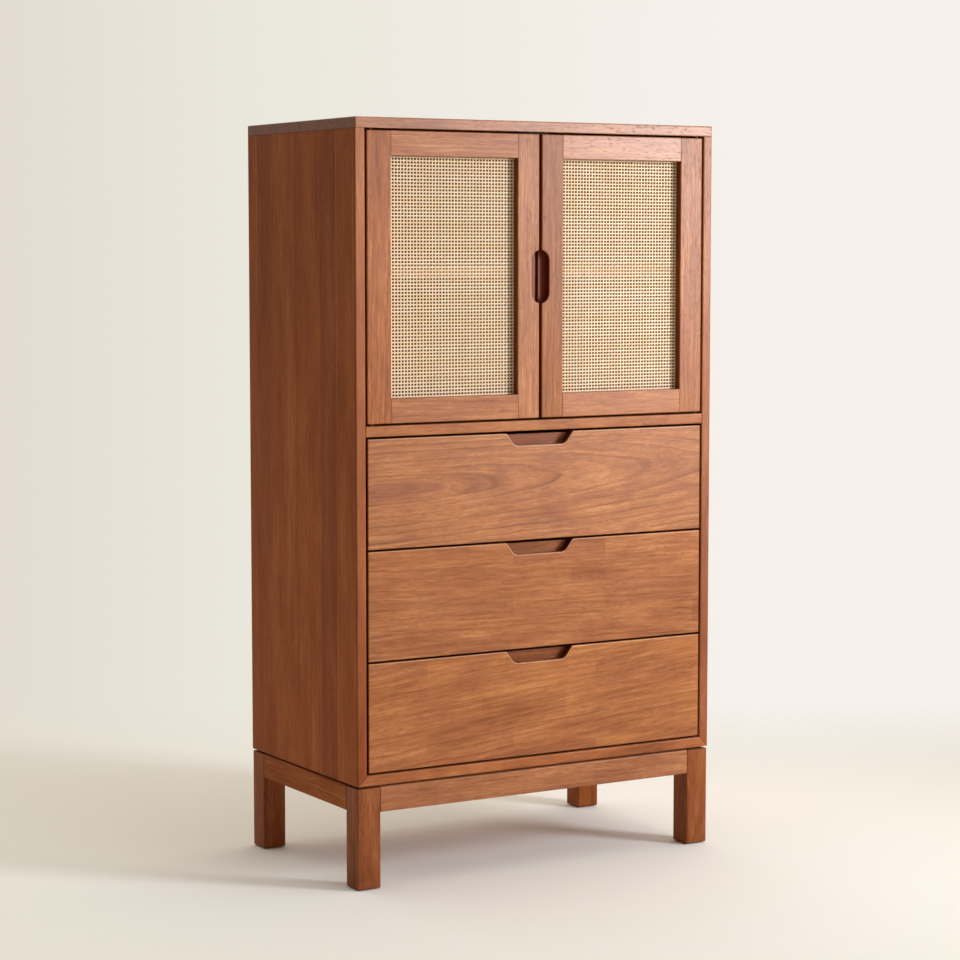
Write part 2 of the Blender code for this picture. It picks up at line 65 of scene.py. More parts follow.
def feed(tree, node, inputs):
    """Sets a node's inputs to values, or links them from sockets or from other nodes."""
    for key, value in inputs.items():
        if isinstance(value, bpy.types.Node):
            value = value.outputs[0]
        if isinstance(value, bpy.types.NodeSocket):
            tree.links.new(value, node.inputs[key])
        else:
            node.inputs[key].default_value = value


def add(tree, kind, inputs=None, stops=None, **settings):
    """Adds a node with its settings and inputs, and with a ramp's places and colours as stops."""
    made = tree.nodes.new(kind)
    for name, value in settings.items():
        setattr(made, name, value)
    feed(tree, made, inputs or {})
    if stops:
        points = made.color_ramp.elements
        while len(points) < len(stops):
            points.new(1.0)
        for point, (place, colour) in zip(points, stops):
            point.position = place
            point.color = colour if isinstance(colour, tuple) else (colour, colour, colour, 1.0)
    return made


def new_material(name):
    """A material with a bare Principled shader, its tree and that shader."""
    material = bpy.data.materials.new(name)
    material.use_nodes = True
    return material, material.node_tree, material.node_tree.nodes["Principled BSDF"]


def new_group(name, kind, inputs, outputs):
    """A node group with named sockets of the given kinds, and its input and output nodes."""
    tree = bpy.data.node_groups.new(name, kind)
    for label, socket in inputs.items():
        tree.interface.new_socket(label, in_out="INPUT", socket_type="NodeSocket" + socket)
    for label, socket in outputs.items():
        tree.interface.new_socket(label, in_out="OUTPUT", socket_type="NodeSocket" + socket)
    return tree, tree.nodes.new("NodeGroupInput"), tree.nodes.new("NodeGroupOutput")


def placed(name, data):
    """A new object in the scene."""
    made = bpy.data.objects.new(name, data)
    bpy.context.scene.collection.objects.link(made)
    return made


def shaped(name, bm):
    """A new object in the scene with a finished mesh."""
    mesh = bpy.data.meshes.new(name)
    bm.to_mesh(mesh)
    bm.free()
    return placed(name, mesh)


# Hardwood

RING_WIDTH = 13.2 * MM  # between growth rings
UNEVEN_RINGS = 1.6  # how many rings the years of fast and slow growth shift the others by
RING_WANDER = 10 * MM  # how far the rings stray from true circles
RING_WANDER_LENGTH, RING_WANDER_WIDTH = 260 * MM, 60 * MM
WAVE_RISE = 5 * MM  # how far the grain waves up and down
WAVE_LENGTH, WAVE_WIDTH = 75 * MM, 26 * MM
LINE_LENGTH, LINE_WIDTH = 130 * MM, 4.5 * MM  # of lines that follow the rings, twice too wide
FIBRE_LENGTH, FIBRE_WIDTH = 42 * MM, 3.2 * MM  # drawn seven times as wide as real fibres, to show
FLECK_LENGTH, FLECK_WIDTH = 20 * MM, 2.0 * MM  # of the light and dark flecks
PORE_LENGTH, PORE_WIDTH = 11 * MM, 2.8 * MM  # drawn eight times as wide as real pores, to show
PATCH_LENGTH, PATCH_WIDTH = 150 * MM, 34 * MM  # of the patches with many pores
FADE_LENGTH, FADE_WIDTH = 160 * MM, 45 * MM  # of the stretches where a ring is faint
CLOUD_LENGTH, CLOUD_WIDTH = 240 * MM, 40 * MM  # of the slow changes of tone along the grain
BLUSH_LENGTH, BLUSH_WIDTH = 105 * MM, 40 * MM  # of the redder patches
HEART_RADIUS, HEART_DEPTH = 34 * MM, 0.95  # of the redder wood round the pith
SEAM_LENGTH, SEAM_SPREAD = 420 * MM, 45 * MM  # of the stretches where a glue seam shows
SEAM_WIDTH = 2.6 * MM  # drawn five times too wide, to show
EDGE_ROUND = 3.0 * MM  # of the eased edges, which catch the light
PAINTED_EDGE_HIGHLIGHT = 0.42  # how pale the painted highlight on the drawer fronts' upper eased edges is
OILED_ROUGHNESS, ROUGHER = 0.36, 0.15  # of the face, and what pores and end grain add to it
PORE_SINK = 0.6  # how far pores sink, against the height of a fibre
GRAIN_DEPTH, GRAIN_STRENGTH = 0.3 * MM, 0.25  # of the relief that catches the light

# A ring's darkness from its first to its last wood, and the share of it in the faintest and the clearest ring
LATE_WOOD = ((0.0, 0.20), (0.04, 0.0), (0.40, 0.04), (0.86, 0.34), (0.94, 1.0), (1.0, 0.30))
RING_STRENGTHS = (0.42, 1.0)

# How much each layer of the grain adds to the tone, and what brings the sum to the middle of the wood's tones
CLOUD_SHARE, LINE_SHARE, FIBRE_SHARE, FLECK_SHARE = 0.58, 0.72, 0.50, 0.36
CLOUD_MIDDLE, FINE_MIDDLE = 0.175, -0.79

# The wood's tones from dark to light, and the colours and tints of what lies over them
WOOD_TONES = ((0.05, "#7D3F1B"), (0.35, "#A2562B"), (0.55, "#B56635"), (0.85, "#CF864F"))
RING_COLOUR, PORE_COLOUR, SEAM_COLOUR, PAINTED_HIGHLIGHT_COLOUR = "#803C16", "#70391B", "#D09A66", "#EDBC90"
BLUSH_TINT = "#DED2EC"
END_GRAIN_TINT = (0.50, 0.40, 0.34, 1.0)

# Where a feature sets in and how strong it is there, on the noise or the slope that places it
BLUSH_RAMP = ((0.48, 0.0), (0.62, 1.0))
PORE_RAMP = ((0.60, 0.0), (0.74, 1.0))
END_GRAIN_RAMP = ((0.55, 0.0), (0.95, 1.0))
PAINTED_HIGHLIGHT_RAMP = ((0.10, 0.0), (0.30, PAINTED_EDGE_HIGHLIGHT), (0.95, PAINTED_EDGE_HIGHLIGHT), (0.99, 0.0))
# The same as a map's least and most input, and its least and most output
FADE_RANGE = {1: 0.38, 2: 0.60, 3: 0.40, 4: 1.0}
PATCH_RANGE = {1: 0.42, 2: 0.64, 3: 0.05, 4: 0.34}
SEAM_RANGE = {1: 0.50, 2: 0.62}
FRONT_RANGE = {1: -0.5, 2: -0.8}


def hardwood_figure():
    """The look of a board sawn from a log whose pith runs along X.

    It has rings, lines, fibres, flecks, clouds, redder patches and blocks, pores, glue seams and end grain.
    """
    tree, given, result = new_group(
        "hardwood figure", "ShaderNodeTree",
        {"Log": "Vector", "Facing": "Vector", "Rings": "Float",
         "Blush": "Float", "Fineness": "Float", "Block": "Float",
         "Seam": "Float", "Hue": "Float", "Saturation": "Float",
         "Value": "Float"},
        {"Color": "Color", "Roughness": "Float", "Height": "Float"})
    log = given.outputs["Log"]

    def streaks(place, length, width, detail):
        """Noise drawn out along the grain."""
        drawn_out = add(tree, "ShaderNodeVectorMath", {0: place, 1: (1 / length, 1 / width, 1 / width)},
                        operation="MULTIPLY")
        return add(tree, "ShaderNodeTexNoise", {"Vector": drawn_out, "Scale": 1.0, "Detail": detail})

    def bent(place, stray, reach):
        """The place, pushed sideways by a noise."""
        centred = add(tree, "ShaderNodeVectorMath", {0: stray.outputs["Color"], 1: (0.5, 0.5, 0.5)},
                      operation="SUBTRACT")
        return add(tree, "ShaderNodeVectorMath", {0: centred, 1: (0.0, reach, reach), 2: place},
                   operation="MULTIPLY_ADD")

    # Rings that stray from circles round the pith, each with a dark edge of its own strength
    waved = bent(log, streaks(log, WAVE_LENGTH, WAVE_WIDTH, 1.0), WAVE_RISE)
    strayed = bent(waved, streaks(log, RING_WANDER_LENGTH, RING_WANDER_WIDTH, 1.0), RING_WANDER)
    across = add(tree, "ShaderNodeVectorMath", {0: strayed, 1: (0.0, 1.0, 1.0)}, operation="MULTIPLY")
    radius = add(tree, "ShaderNodeVectorMath", {0: across}, operation="LENGTH").outputs["Value"]
    ring = add(tree, "ShaderNodeMath", {0: radius, 1: RING_WIDTH}, operation="DIVIDE")
    uneven = add(tree, "ShaderNodeTexNoise", {"W": ring, "Scale": 0.45, "Detail": 1.0}, noise_dimensions="1D")
    ring = add(tree, "ShaderNodeMath", {0: uneven, 1: UNEVEN_RINGS, 2: ring}, operation="MULTIPLY_ADD")
    ring_number = add(tree, "ShaderNodeMath", {0: ring}, operation="FLOOR")
    ring_strength = add(tree, "ShaderNodeTexWhiteNoise", {"W": ring_number}, noise_dimensions="1D")
    through_ring = add(tree, "ShaderNodeMath", {0: ring}, operation="FRACT")
    late_wood = add(tree, "ShaderNodeValToRGB", {"Fac": through_ring}, stops=LATE_WOOD)
    strength = add(tree, "ShaderNodeMapRange", {0: ring_strength.outputs["Value"], 3: RING_STRENGTHS[0],
                                                4: RING_STRENGTHS[1]})
    ring_line = add(tree, "ShaderNodeMath", {0: late_wood, 1: strength}, operation="MULTIPLY")
    fade = add(tree, "ShaderNodeMapRange", {0: streaks(log, FADE_LENGTH, FADE_WIDTH, 1.0), **FADE_RANGE})
    ring_line = add(tree, "ShaderNodeMath", {0: ring_line, 1: fade}, operation="MULTIPLY")
    ring_line = add(tree, "ShaderNodeMath", {0: ring_line, 1: given.outputs["Rings"]},
                    operation="MULTIPLY", use_clamp=True)

    # Fine lines that follow the rings
    along = add(tree, "ShaderNodeSeparateXYZ", {0: log})
    line_place = add(tree, "ShaderNodeCombineXYZ", {
        0: add(tree, "ShaderNodeMath", {0: radius, 1: LINE_WIDTH}, operation="DIVIDE"),
        1: add(tree, "ShaderNodeMath", {0: along, 1: LINE_LENGTH}, operation="DIVIDE")})
    lines = add(tree, "ShaderNodeTexNoise", {"Vector": line_place, "Scale": 1.0, "Detail": 3.0})

    # Tone from dark to light
    clouds = streaks(waved, CLOUD_LENGTH, CLOUD_WIDTH, 2.0)
    fibres = streaks(waved, FIBRE_LENGTH, FIBRE_WIDTH, 2.0)
    flecks = streaks(waved, FLECK_LENGTH, FLECK_WIDTH, 1.0)
    fine = add(tree, "ShaderNodeMath", {0: lines, 1: LINE_SHARE, 2: FINE_MIDDLE},
               operation="MULTIPLY_ADD")
    for grain, share in ((fibres, FIBRE_SHARE), (flecks, FLECK_SHARE)):
        fine = add(tree, "ShaderNodeMath", {0: grain, 1: share, 2: fine}, operation="MULTIPLY_ADD")
    tone = add(tree, "ShaderNodeMath", {0: clouds, 1: CLOUD_SHARE, 2: CLOUD_MIDDLE},
               operation="MULTIPLY_ADD")
    tone = add(tree, "ShaderNodeMath", {0: fine, 1: given.outputs["Fineness"], 2: tone},
               operation="MULTIPLY_ADD")
    body = add(tree, "ShaderNodeValToRGB", {"Fac": tone},
               stops=[(place, linear(colour)) for place, colour in WOOD_TONES])

    # Redder patches, redder blocks and the redder wood round the pith
    blush = streaks(log, BLUSH_LENGTH, BLUSH_WIDTH, 3.0)
    blush_mask = add(tree, "ShaderNodeValToRGB", {"Fac": blush}, stops=BLUSH_RAMP)
    blush_mask = add(tree, "ShaderNodeMath", {0: blush_mask, 1: given.outputs["Blush"]},
                     operation="MULTIPLY")
    heart = add(tree, "ShaderNodeMapRange", {0: radius, 1: 0.0, 2: HEART_RADIUS, 3: HEART_DEPTH, 4: 0.0},
                interpolation_type="SMOOTHSTEP")
    for redder in (given.outputs["Block"], heart):
        blush_mask = add(tree, "ShaderNodeMath", {0: blush_mask, 1: redder}, operation="MAXIMUM")
    blushed = add(tree, "ShaderNodeMix", {0: blush_mask, 6: body, 7: linear(BLUSH_TINT)},
                  data_type="RGBA", blend_type="MULTIPLY")
    ringed = add(tree, "ShaderNodeMix", {0: ring_line, 6: blushed.outputs[2],
                                         7: linear(RING_COLOUR)}, data_type="RGBA")

    # Pores, as short dark dashes, more of them in some patches than in others
    pores = streaks(waved, PORE_LENGTH, PORE_WIDTH, 0.0)
    pore_mask = add(tree, "ShaderNodeValToRGB", {"Fac": pores}, stops=PORE_RAMP)
    patch = add(tree, "ShaderNodeMapRange", {0: streaks(log, PATCH_LENGTH, PATCH_WIDTH, 2.0), **PATCH_RANGE})
    patchy = add(tree, "ShaderNodeMath", {0: pore_mask, 1: patch}, operation="MULTIPLY")
    pored = add(tree, "ShaderNodeMix", {0: patchy, 6: ringed.outputs[2], 7: linear(PORE_COLOUR)},
                data_type="RGBA")

    # Glue seams that have gone pale here and there
    aged = add(tree, "ShaderNodeMapRange", {0: streaks(log, SEAM_LENGTH, SEAM_SPREAD, 1.0), **SEAM_RANGE})
    seam = add(tree, "ShaderNodeMath", {0: aged, 1: given.outputs["Seam"]}, operation="MULTIPLY")
    seamed = add(tree, "ShaderNodeMix", {0: seam, 6: pored.outputs[2], 7: linear(SEAM_COLOUR)},
                 data_type="RGBA")

    # End grain drinks more oil and goes dark
    facing = add(tree, "ShaderNodeSeparateXYZ", {0: given.outputs["Facing"]})
    endwise = add(tree, "ShaderNodeMath", {0: facing}, operation="ABSOLUTE")
    end_mask = add(tree, "ShaderNodeValToRGB", {"Fac": endwise}, stops=END_GRAIN_RAMP)
    ended = add(tree, "ShaderNodeMix", {0: end_mask, 6: seamed.outputs[2],
                                        7: END_GRAIN_TINT}, data_type="RGBA", blend_type="MULTIPLY")
    toned = add(tree, "ShaderNodeHueSaturation", {
        "Hue": given.outputs["Hue"], "Saturation": given.outputs["Saturation"],
        "Value": given.outputs["Value"], "Color": ended.outputs[2]})

    # Pores and end grain are rougher, and pores sit a little lower
    rough = add(tree, "ShaderNodeMath", {0: pore_mask, 1: ROUGHER, 2: OILED_ROUGHNESS},
                operation="MULTIPLY_ADD")
    rough = add(tree, "ShaderNodeMath", {0: end_mask, 1: ROUGHER, 2: rough}, operation="MULTIPLY_ADD")
    height = add(tree, "ShaderNodeMath", {0: pore_mask, 1: -PORE_SINK, 2: fibres},
                 operation="MULTIPLY_ADD")
    feed(tree, result, {"Color": toned, "Roughness": rough, "Height": height})
    return tree


# The way the grain runs in each kind of board; the others run from left to right
GRAIN_KINDS = (("stile", "Z"), ("leg", "Z"), ("side_panel", "Z"), ("back_panel", "Z"), ("bead", "Z"),
               ("runner", "Y"), ("_side_", "Y"), ("apron_left", "Y"), ("apron_right", "Y"))
GRAIN_WAYS = {"X": Vector((1, 0, 0)), "Y": Vector((0, 1, 0)), "Z": Vector((0, 0, 1))}

# A plain board's place in its log: the pith's distance in mm, its angle off the board's breadth, its slope
PITH_DISTANCE, PITH_ANGLE, PITH_SLOPE = (150, 320), 0.6, 0.02
LOG_LENGTH = 40  # metres, along which the boards are strewn, so that no two are alike
# How much the boards' saturation and value differ by chance
SATURATION_SPREAD, VALUE_SPREAD = (0.96, 1.04), (0.97, 1.03)
WOOD_SEED = 4

# Boards chosen for their figure: where the pith passes, in mm from the board's middle, and its slope
CHOSEN_PITH = {
    "drawer_upper_front": ((0, 24, 18), (1.0, 0.088, 0.034)),
    "drawer_middle_front": ((0, 150, 260), (1.0, 0.02, -0.02)),
    "drawer_lower_front": ((0, 120, -190), (1.0, 0.03, 0.11)),
    "side_panel_left": ((60, 420, 0), (0.0, 0.004, 1.0)),
    "side_panel_right": ((-60, 420, 0), (0.0, -0.004, 1.0)),
}

# How clearly the rings and the redder patches show, on fronts chosen for their figure and on the rest
FIGURED = {"drawer_upper_front": (1.5, 0.50), "drawer_middle_front": (0.8, 0.40),
           "drawer_lower_front": (0.9, 0.45)}
PLAIN_FIGURE = (0.6, 0.30)

# Boards glued from staves: the staves' width, the length of the blocks jointed end to end in them, how much
# redder a block can be than the next, and how pale the seams are
STAVES = {"drawer_middle_front": (47 * MM, 210 * MM, 0.80, 0.0),
          "drawer_lower_front": (51 * MM, 190 * MM, 0.62, 0.0),
          "side_panel_left": (67 * MM, 6000 * MM, 0.80, 0.42),
          "side_panel_right": (67 * MM, 6000 * MM, 0.60, 0.15)}
STAVE_SHIFT = Vector((60, 14, 0)) * MM
STAVE_STAGGER, STAVES_TO_STAGGER = 0.37, 3  # the share of a block that every third stave is shifted by
FIRST_REDDER = 0.40  # the share of blocks that are no redder than the board
SOFT_GRAIN = {"side_panel_left": 0.55, "side_panel_right": 0.7}  # boards whose fine grain shows less

# Hue, saturation and value of each finish, on top of the figure's own colours
SLOT_TONES = {"hardwood": (0.5075, 0.95, 0.98), "box_wood": (0.503, 0.95, 0.86),
              "plywood": (0.503, 0.92, 0.55)}
KIND_TONES = (
    ("bottom_panel", (0.503, 0.97, 0.92)),
    ("_box_front", (0.501, 0.98, 0.70)),
    ("leg_", (0.501, 0.97, 0.69)),
    # Painted shade of the left side: the left apron is darker than the right one, and the left side panel
    # partly darker
    ("side_panel_left", (0.500, 1.0, 0.87)),
    ("side_panel_right", (0.505, 0.96, 0.90)),
    ("apron_left", (0.500, 1.0, 0.76)),
    ("door_right_meeting", (0.506, 0.98, 0.77)),
    ("door_left_hinge", (0.505, 0.95, 0.94)),
    ("drawer_upper_front", (0.510, 0.95, 1.02)),
    ("drawer_middle_front", (0.508, 0.98, 1.005)),
    ("drawer_lower_front", (0.5085, 0.95, 1.02)),
)

# Tones of front faces that differ, at foot and head: a painted sheen on the sides' lips, paler upwards, and
# painted shade on the back's inside
PAINTED_FRONT_LIGHT = {"side_panel_left": ((0.500, 0.98, 0.80), (0.509, 0.84, 1.44)),
               "side_panel_right": ((0.500, 0.98, 0.81), (0.509, 0.88, 1.16)),
               "back_panel": ((0.503, 1.2, 0.30), (0.503, 1.2, 0.30))}

# Painted shade: edges, notches, pockets and gaps of the doors and drawer fronts, where shade falls, are
# painted redder
# and darker than the face: by how much, and how far behind the face it begins and is at its darkest
PAINTED_SHADE_HUE, PAINTED_SHADE_SATURATION, PAINTED_SHADE_VALUE = -0.016, 1.22, 0.50
PAINTED_SHADE_START, PAINTED_SHADE_FULL = 2 * MM, 4 * MM

# Specular level of each kind of board: the doors are polished most, the legs and the left side rubbed matt
KIND_GLOSS = (("leg_", 0.06), ("side_panel_left", 0.03), ("apron_left", 0.03), ("door_right_top", 0.46),
              ("door_right_bottom", 0.46), ("door_", 0.27), ("top_panel", 0.44), ("drawer_upper_front", 0.42),
              ("drawer_middle_front", 0.19), ("side_panel_right", 0.22), ("back_panel", 0.06))
GLOSS = 0.24


def grain_way(node):
    """The axis along which a board's grain runs."""
    for word, axis in GRAIN_KINDS:
        if word in node:
            return GRAIN_WAYS[axis]
    return GRAIN_WAYS["X"]


def board_axes(node):
    """The axes along a board's grain, across its breadth and through its thickness."""
    low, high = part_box(node)
    way = grain_way(node)
    thin = min((axis for axis in GRAIN_WAYS.values() if axis != way), key=(high - low).dot)
    return way, way.cross(thin), thin


def board_turn(node):
    """The turn that lays a board's grain along X and its breadth along Y."""
    way, broad, _ = board_axes(node)
    return Matrix((way, broad, way.cross(broad))).to_euler("XYZ")


def log_frame(node, chance):
    """The turn and shift that take a point of the board into its log, sawn near the quarter, pith along X."""
    low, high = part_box(node)
    way, broad, thin = board_axes(node)
    angle = chance.uniform(-PITH_ANGLE, PITH_ANGLE) + chance.choice((0, math.pi))
    distance = chance.uniform(*PITH_DISTANCE)
    place = broad * math.cos(angle) * distance + thin * math.sin(angle) * distance
    slopes = [chance.uniform(-PITH_SLOPE, PITH_SLOPE) for _ in range(2)]
    runs = way + broad * slopes[0] + thin * slopes[1]
    if node in CHOSEN_PITH:
        place, runs = (Vector(value) for value in CHOSEN_PITH[node])
    pith = (low + high) / 2 + place * MM
    along = runs.normalized()
    second = (broad - along * broad.dot(along)).normalized()
    turn = Matrix((along, second, along.cross(second)))
    shift = Vector((chance.uniform(0, LOG_LENGTH), 0, 0)) - turn @ pith
    return turn.to_euler("XYZ"), shift


def lay_staves(node, tree, place, wood):
    """Gives a board glued from staves its redder blocks and its seams."""
    width, length, redness, paleness = STAVES[node]
    laid = add(tree, "ShaderNodeMapping", {"Vector": place.outputs["Object"], "Location": STAVE_SHIFT,
                                           "Rotation": board_turn(node)}, vector_type="POINT")
    block = add(tree, "ShaderNodeTexBrick",
                {"Vector": laid, "Color1": (0.0, 0.0, 0.0, 1.0), "Color2": (1.0, 1.0, 1.0, 1.0),
                 "Mortar": (0.5, 0.5, 0.5, 1.0), "Scale": 1.0, "Mortar Smooth": 0.6,
                 "Mortar Size": SEAM_WIDTH / 2 if paleness else 0.0, "Brick Width": length,
                 "Row Height": width},
                offset=STAVE_STAGGER, offset_frequency=STAVES_TO_STAGGER)
    redder = add(tree, "ShaderNodeMapRange", {0: block.outputs["Color"], 1: FIRST_REDDER, 2: 1.0, 4: redness})
    seam = add(tree, "ShaderNodeMath", {0: block.outputs["Fac"], 1: paleness}, operation="MULTIPLY")
    feed(tree, wood, {"Block": redder, "Seam": seam})


def oiled_board(node, figure, chance):
    """Oiled hardwood: satin, warm red-brown with pale bands, dark pores and the figure of its own log."""
    turn, shift = log_frame(node, chance)
    material, tree, shader = new_material(f"oiled hardwood {node}")
    tones = [tone for word, tone in KIND_TONES if word in node]
    hue, saturation, value = tones[0] if tones else SLOT_TONES[SLOTS[node]]
    place = add(tree, "ShaderNodeTexCoord")
    log = add(tree, "ShaderNodeMapping",
              {"Vector": place.outputs["Object"], "Location": shift, "Rotation": turn}, vector_type="POINT")
    facing = add(tree, "ShaderNodeMapping", {"Vector": place.outputs["Normal"], "Rotation": turn},
                 vector_type="VECTOR")
    saturation *= chance.uniform(*SATURATION_SPREAD)
    value *= chance.uniform(*VALUE_SPREAD)
    rings, blush = FIGURED.get(node, PLAIN_FIGURE)
    wood = add(tree, "ShaderNodeGroup",
               {"Log": log, "Facing": facing, "Rings": rings, "Blush": blush, "Hue": hue,
                "Saturation": saturation, "Value": value, "Fineness": SOFT_GRAIN.get(node, 1.0)},
               node_tree=figure)
    low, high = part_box(node)
    if node in STAVES:
        lay_staves(node, tree, place, wood)

    # Painted sheen and shade on front faces, or painted shade on edges and recesses behind the faces
    side = add(tree, "ShaderNodeSeparateXYZ", {0: place.outputs["Normal"]})
    spot = add(tree, "ShaderNodeSeparateXYZ", {0: place.outputs["Object"]})
    mask = None
    if node in PAINTED_FRONT_LIGHT:
        # Painted sheen on the sides' lips and painted shade inside the back, on faces turned to the front
        mask = add(tree, "ShaderNodeMapRange", {0: side.outputs[1], **FRONT_RANGE})
        climb = add(tree, "ShaderNodeMapRange", {0: spot.outputs[2], 1: low.z, 2: high.z})
        other_tone = [add(tree, "ShaderNodeMix", {0: climb, 2: foot, 3: head})
                      for foot, head in zip(*PAINTED_FRONT_LIGHT[node])]
    elif node in FIGURED or node.startswith("door_"):
        # Painted shade on the faces of the doors and drawer fronts that lie behind the front
        off_middle = add(tree, "ShaderNodeMath", {0: spot.outputs[1], 1: (low.y + high.y) / 2},
                         operation="SUBTRACT")
        off_middle = add(tree, "ShaderNodeMath", {0: off_middle}, operation="ABSOLUTE")
        half = (high.y - low.y) / 2
        mask = add(tree, "ShaderNodeMapRange", {0: off_middle, 1: half - PAINTED_SHADE_START, 2: half - PAINTED_SHADE_FULL})
        other_tone = (hue + PAINTED_SHADE_HUE, saturation * PAINTED_SHADE_SATURATION, value * PAINTED_SHADE_VALUE)
    if mask:
        for name, board, other in zip(("Hue", "Saturation", "Value"), (hue, saturation, value), other_tone):
            mixed = add(tree, "ShaderNodeMix", {0: mask, 2: board, 3: other})
            feed(tree, wood, {name: mixed})

    rounding = add(tree, "ShaderNodeBevel", {"Radius": EDGE_ROUND}, samples=4)
    bump = add(tree, "ShaderNodeBump", {"Height": wood.outputs["Height"], "Normal": rounding,
                                        "Strength": GRAIN_STRENGTH, "Distance": GRAIN_DEPTH})
    colour = wood.outputs["Color"]
    # Painted highlight: the drawer fronts' eased edges that slope up towards the front are painted paler
    if node in FIGURED:
        slant = add(tree, "ShaderNodeMath", {0: side.outputs[1], 1: -1.0}, operation="MULTIPLY")
        painted_highlight = add(tree, "ShaderNodeValToRGB", {"Fac": slant}, stops=PAINTED_HIGHLIGHT_RAMP)
        upward = add(tree, "ShaderNodeMath", {0: side.outputs[2], 1: 0.1}, operation="GREATER_THAN")
        painted_highlight = add(tree, "ShaderNodeMath", {0: painted_highlight, 1: upward}, operation="MULTIPLY")
        colour = add(tree, "ShaderNodeMix", {0: painted_highlight, 6: colour, 7: linear(PAINTED_HIGHLIGHT_COLOUR)},
                     data_type="RGBA").outputs[2]
    gloss = [level for word, level in KIND_GLOSS if word in node]
    feed(tree, shader, {"Base Color": colour, "Roughness": wood.outputs["Roughness"], "Normal": bump,
                        "Specular IOR Level": gloss[0] if gloss else GLOSS})
    return material


# Cane

CANE_PITCH = Vector((6.70, 0, 6.35)) * MM  # between strands, across and up
STRAND_WIDTHS = {"upright": 3.4 * MM, "level": 3.55 * MM}
STRAND_THICKNESS = 0.36 * MM
STRAND_RISE = 0.19 * MM  # how far a strand swings over and under
STEPS_PER_CROSSING = 4
STRAND_SIDES = 6
MOTTLE_SIZE = 18 * MM  # of the clouds in the straw's tone
STRAW_TONES = ((0.10, "#F7CC99"), (0.50, "#FDDBB0"), (0.90, "#FFE6C4"))
RIM_COLOUR, RIM_START = "#7C4010", 0.72  # of the cut edges, partly their own brown and partly painted shade on the strands' flanks, and where they start
STRAND_SHARE, MOTTLE_SHARE, STRAW_BASE = 0.55, 0.65, -0.1  # what the tone is made of
CANE_ROUGHNESS = 0.42


def woven_cane():
    """Peeled rattan cane: hard, smooth, straw-pale, each strand its own tone, its cut edges brown, partly
    painted shade.
    """
    material, tree, shader = new_material("woven rattan cane")
    strand = add(tree, "ShaderNodeAttribute", attribute_name="strand_tone")
    place = add(tree, "ShaderNodeTexCoord")
    mottle = add(tree, "ShaderNodeTexNoise", {"Vector": place.outputs["Object"], "Scale": 1 / MOTTLE_SIZE,
                                              "Detail": 3.0})
    tone = add(tree, "ShaderNodeMath", {0: strand.outputs["Fac"], 1: STRAND_SHARE, 2: STRAW_BASE},
               operation="MULTIPLY_ADD")
    tone = add(tree, "ShaderNodeMath", {0: mottle, 1: MOTTLE_SHARE, 2: tone}, operation="MULTIPLY_ADD")
    straw = add(tree, "ShaderNodeValToRGB", {"Fac": tone},
                stops=[(place, linear(colour)) for place, colour in STRAW_TONES])
    # Brown cut edges, partly painted shade on the strands' flanks
    rim = add(tree, "ShaderNodeAttribute", attribute_name="strand_rim")
    rim_mask = add(tree, "ShaderNodeMapRange", {0: rim.outputs["Fac"], 1: RIM_START, 2: 1.0})
    edged = add(tree, "ShaderNodeMix", {0: rim_mask, 6: straw, 7: linear(RIM_COLOUR)}, data_type="RGBA")
    feed(tree, shader, {"Base Color": edged.outputs[2], "Roughness": CANE_ROUGHNESS})
    return material


